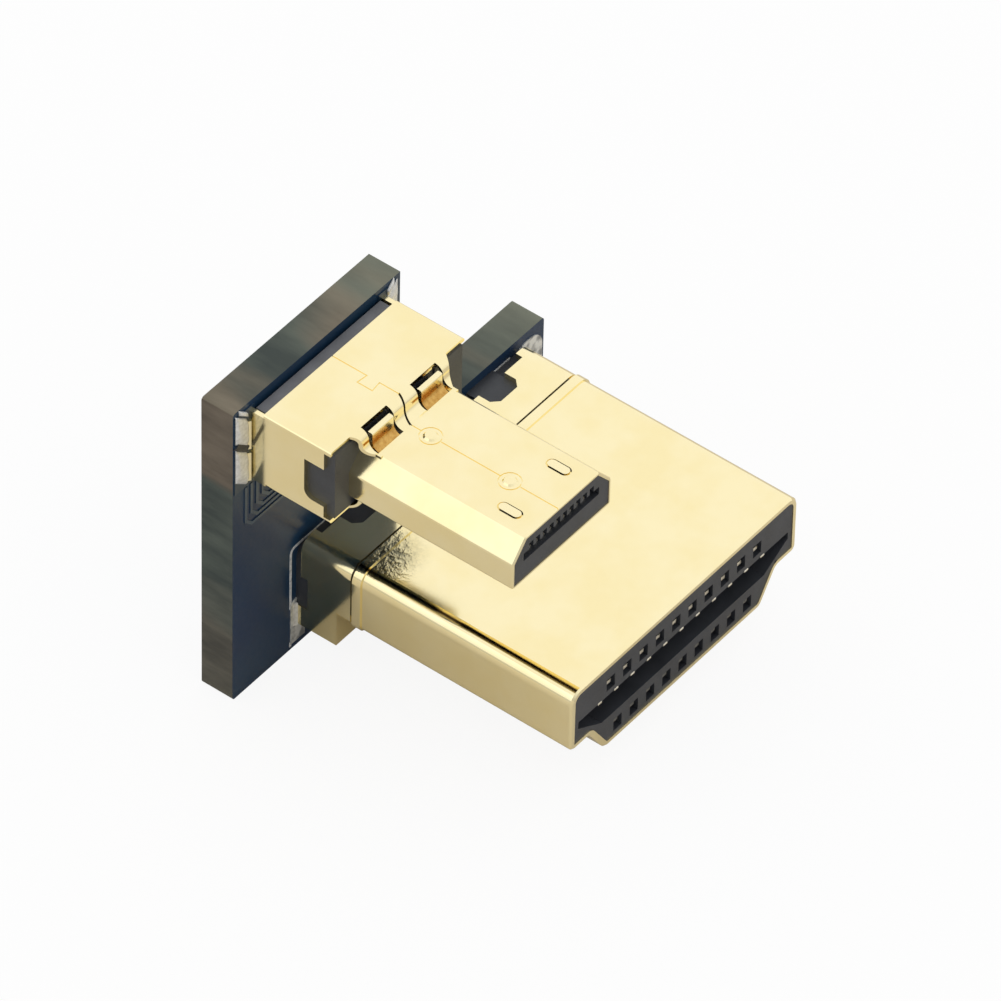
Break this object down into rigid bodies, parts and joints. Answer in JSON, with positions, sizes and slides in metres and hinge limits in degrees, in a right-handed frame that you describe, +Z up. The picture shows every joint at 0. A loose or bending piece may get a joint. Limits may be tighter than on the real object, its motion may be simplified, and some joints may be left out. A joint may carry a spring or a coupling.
{
  "type": "micro hdmi adapter",
  "caption": "Adapter that joins a full size and a micro video plug, both gold plated and facing the same way, through a short upright circuit board.",
  "frame": {"origin": "middle of the footprint of the whole part, at the board's foot", "axes": "+X along the board's foot, +Y from the plugs to the board's back, +Z up the board"},
  "size_m": [0.0188, 0.0154, 0.0152],
  "materials": {
    "board": "glass fibre board with dark blue solder mask",
    "gold_shell": "bright gold plating on stamped sheet",
    "black_insulator": "moulded, satin",
    "contact_metal": "thin plated spring strip",
    "solder": "tin solder, slightly dull",
    "masked_copper": "copper under blue solder mask"
  },
  "bodies": {
    "root": {"circuit_board": "board", "wide_plug_front_shell": "gold_shell", "wide_plug_rear_shell": "gold_shell", "wide_plug_insulator": "black_insulator", "wide_plug_base": "black_insulator", "micro_plug_shell": "gold_shell", "micro_plug_insulator": "black_insulator", "micro_plug_base": "black_insulator", "micro_latch_left": "gold_shell", "micro_latch_right": "gold_shell", "wide_pin_solder": "solder", "micro_pin_solder": "solder", "wide_leg_solder_left": "solder", "wide_leg_solder_right": "solder", "micro_leg_solder": "solder", "leg_pads": "solder", "signal_traces": "masked_copper", "wide_contact_01": "contact_metal", "wide_contact_02": "contact_metal", "wide_contact_03": "contact_metal", "wide_contact_04": "contact_metal", "wide_contact_05": "contact_metal", "wide_contact_06": "contact_metal", "wide_contact_07": "contact_metal", "wide_contact_08": "contact_metal", "wide_contact_09": "contact_metal", "wide_contact_10": "contact_metal", "wide_contact_11": "contact_metal", "wide_contact_12": "contact_metal", "wide_contact_13": "contact_metal", "wide_contact_14": "contact_metal", "wide_contact_15": "contact_metal", "wide_contact_16": "contact_metal", "wide_contact_17": "contact_metal", "wide_contact_18": "contact_metal", "wide_contact_19": "contact_metal", "micro_contact_01": "contact_metal", "micro_contact_02": "contact_metal", "micro_contact_03": "contact_metal", "micro_contact_04": "contact_metal", "micro_contact_05": "contact_metal", "micro_contact_06": "contact_metal", "micro_contact_07": "contact_metal", "micro_contact_08": "contact_metal", "micro_contact_09": "contact_metal", "micro_contact_10": "contact_metal", "micro_contact_11": "contact_metal", "micro_contact_12": "contact_metal", "micro_contact_13": "contact_metal", "micro_contact_14": "contact_metal", "micro_contact_15": "contact_metal", "micro_contact_16": "contact_metal", "micro_contact_17": "contact_metal", "micro_contact_18": "contact_metal", "micro_contact_19": "contact_metal"}
  },
  "joints": []
}
